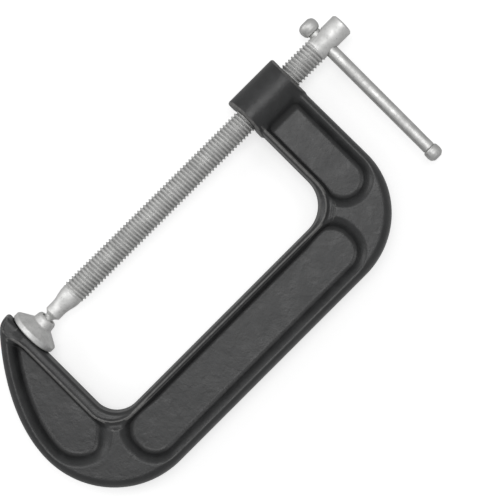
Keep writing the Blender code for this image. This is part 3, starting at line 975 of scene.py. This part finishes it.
def paint_material():
    """Satin black enamel over a rough casting."""
    n = Nodes("black_enamel")
    bend = n.add("ShaderNodeAttribute", attribute_name="bend").outputs["Fac"]
    broad = n.noise(45, 3.0, 0.55)
    patches = n.noise(170, 4.0, 0.6)
    grain = n.noise(900, 3.0, 0.6)
    colour = n.blend(n.span(broad, 0.3, 0.7), ENAMEL_DARK, ENAMEL_LIGHT)
    colour = n.blend(n.span(patches, 0.45, 0.75, 0.0, 0.6), colour, ENAMEL_PATCH)
    # worn paint on convex edges, and painted highlights on the throat's edge and the
    # bead's crest
    edge = n.span(bend, 0.65, 1.0)
    wear_and_highlight = n.maths("MULTIPLY", edge, n.span(grain, 0.30, 0.70, 0.5, 1.0))
    colour = n.blend(n.maths("MULTIPLY", wear_and_highlight, 0.8), colour, ENAMEL_WORN_AND_HIGHLIGHT)
    # painted shade in hollows and on the spine's bead
    painted_shade = n.span(bend, -0.5, -0.1, 1.0, 0.0)
    colour = n.blend(n.maths("MULTIPLY", painted_shade, 0.5), colour, ENAMEL_PAINTED_SHADE)
    n.link(colour, n.shader.inputs["Base Color"])
    rough = n.span(patches, 0.3, 0.7, 0.36, 0.50)
    rough = n.maths("ADD", rough, n.maths("MULTIPLY", wear_and_highlight, 0.08))
    n.link(rough, n.shader.inputs["Roughness"])
    n.shader.inputs["Specular IOR Level"].default_value = 0.5
    n.shader.inputs["Coat Weight"].default_value = 0.10
    n.shader.inputs["Coat Roughness"].default_value = 0.30
    wavy = n.bump(n.noise(120, 2.0, 0.5), 0.0010, 0.30)
    sand = n.bump(n.noise(420, 4.0, 0.65), 0.00030, 0.55, wavy)
    peel = n.bump(n.noise(1300, 2.0, 0.5), 0.00008, 0.40, sand)
    n.link(peel, n.shader.inputs["Normal"])
    return n.material


def steel_material(name, ring_axis, ring_scale, tint, rough_span, threaded=False):
    """Zinc on turned steel, with fine rings about an axis, and painted shade in a thread's
    roots.
    """
    n = Nodes(name)
    stretch = [25.0, 25.0, 25.0]
    stretch["XYZ".index(ring_axis)] = ring_scale
    marks = n.noise(1.0, 2.0, 0.6, n.scaled(tuple(stretch)))
    cloud = n.noise(240, 4.0, 0.62)
    spots = n.noise(1100, 2.0, 0.5)
    dull = tuple(0.78 * c for c in tint)
    dark = tuple(0.50 * c for c in tint)
    colour = n.blend(n.span(cloud, 0.35, 0.68), dull, tint)
    colour = n.blend(n.span(spots, 0.60, 0.78, 0.0, 0.5), colour, dark)
    if threaded:
        # painted shade, darker towards the thread's roots
        root = n.add("ShaderNodeAttribute", attribute_name="root").outputs["Fac"]
        colour = n.blend(n.span(root, 0.4, 1.0, 0.0, 0.55), colour, THREAD_ROOT_SHADE)
    n.link(colour, n.shader.inputs["Base Color"])
    n.shader.inputs["Metallic"].default_value = 1.0
    n.shader.inputs["Specular Tint"].default_value = STEEL_EDGE_TINT
    rough_low, rough_high = rough_span
    rough = n.span(cloud, 0.3, 0.7, rough_high, rough_low)
    rough = n.maths("ADD", rough, n.span(marks, 0.3, 0.7, -0.03, 0.05))
    n.link(rough, n.shader.inputs["Roughness"])
    lines = n.bump(marks, 0.00003, 0.35)
    pits = n.bump(n.noise(700, 3.0, 0.6), 0.00005, 0.3, lines)
    n.link(pits, n.shader.inputs["Normal"])
    return n.material


def floor_material():
    """A matt pale floor that glows a little, so that it comes out nearly white."""
    n = Nodes("pale_floor")
    tone = n.span(n.noise(3.0, 2.0, 0.5), 0.3, 0.7)
    n.link(n.blend(tone, *FLOOR_TONES), n.shader.inputs["Base Color"])
    n.shader.inputs["Roughness"].default_value = 0.9
    n.shader.inputs["Specular IOR Level"].default_value = 0.1
    n.shader.inputs["Emission Color"].default_value = WHITE
    n.shader.inputs["Emission Strength"].default_value = FLOOR_GLOW
    return n.material


def dress(made, material):
    made.data.materials.clear()
    made.data.materials.append(material)


# -------------------------------------------------------------------- stage


def make_floor(z):
    bm = bmesh.new()
    bmesh.ops.create_grid(bm, x_segments=8, y_segments=8, size=FLOOR_SIZE)
    floor = to_object("floor", bm)
    floor.location.z = z
    # mirrored in the enamel, a glowing floor would give every rim a white edge
    floor.visible_glossy = False
    dress(floor, floor_material())


def soft_light(name, target, place, size, radiance):
    """A round softbox of a given radiance, which the camera itself doesn't see."""
    lamp = bpy.data.lights.new(name, "AREA")
    lamp.shape = "DISK"
    lamp.size = size
    lamp.energy = radiance * math.pi * math.pi * (size / 2) ** 2
    made = bpy.data.objects.new(name, lamp)
    made.location = place
    aim = Vector(target) - Vector(place)
    made.rotation_euler = aim.to_track_quat("-Z", "Y").to_euler()
    made.visible_camera = False
    bpy.context.scene.collection.objects.link(made)


def make_lights(middle):
    soft_light("top_light", middle, *TOP_LIGHT)
    soft_light("back_light", middle, *BACK_LIGHT)
    soft_light("key_light", middle, *KEY_LIGHT)
    world = bpy.data.worlds.new("studio")
    world.use_nodes = True
    sky = world.node_tree.nodes["Background"]
    sky.inputs["Color"].default_value = WHITE
    sky.inputs["Strength"].default_value = WORLD_RADIANCE
    bpy.context.scene.world = world


def make_camera(origin):
    """Straight down on the parting plane, turned an eighth, as in the photograph."""
    distance, view_width, aim = 0.67, 0.18625, (0.0352, 0.0800)
    sensor_width = 36.0
    lens = bpy.data.cameras.new("camera")
    lens.sensor_width = sensor_width
    lens.lens = sensor_width * distance / view_width
    lens.clip_start = 0.01
    lens.clip_end = 50.0
    made = bpy.data.objects.new("camera", lens)
    made.location = Vector(origin) + Vector((aim[0], aim[1], distance))
    made.rotation_euler = (0.0, 0.0, math.radians(45))
    bpy.context.scene.collection.objects.link(made)
    bpy.context.scene.camera = made


# --------------------------------------------------------------------- main


def joint_named(name):
    """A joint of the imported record."""
    joints = frame["record"]["behaviour"]["joints"]
    return next(j for j in joints if j["name"] == name)


def main():
    screw_axis = joint_named("screw_turn")["pos_m"]
    frame_low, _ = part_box("clamp_frame")
    origin = (screw_axis[0], frame_low[1] - JAW_BOTTOM[1], screw_axis[2])

    casting = make_casting(origin)
    dress(casting, paint_material())
    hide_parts("clamp_frame")
    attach(casting, "frame")

    thread_steel = steel_material(
        "rolled_thread_zinc", "Y", 900.0, THREAD_TINT, THREAD_ROUGH, threaded=True
    )
    pad_steel = steel_material("turned_pad_zinc", "Y", 5000.0, PAD_TINT, PAD_ROUGH)
    bar_steel = steel_material("drawn_bar_zinc", "X", 2500.0, BAR_TINT, BAR_ROUGH)
    pieces = (
        (make_screw(origin), thread_steel, "clamp_screw", "screw"),
        (make_pad(origin), pad_steel, "swivel_pad", "pad"),
        (make_bar(origin), bar_steel, "tommy_bar", "bar"),
        (make_knob(origin), bar_steel, "bar_knob", "bar"),
        (make_cap(origin), bar_steel, "bar_end_cap", "bar"),
    )
    for made, material, node, body in pieces:
        dress(made, material)
        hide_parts(node)
        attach(made, body)

    low, high = CAD_BOX
    make_floor(low[2] - FLOOR_GAP)
    make_lights([(a + b) / 2 for a, b in zip(low, high)])
    make_camera(origin)
    bpy.context.scene.view_settings.view_transform = "Standard"


main()
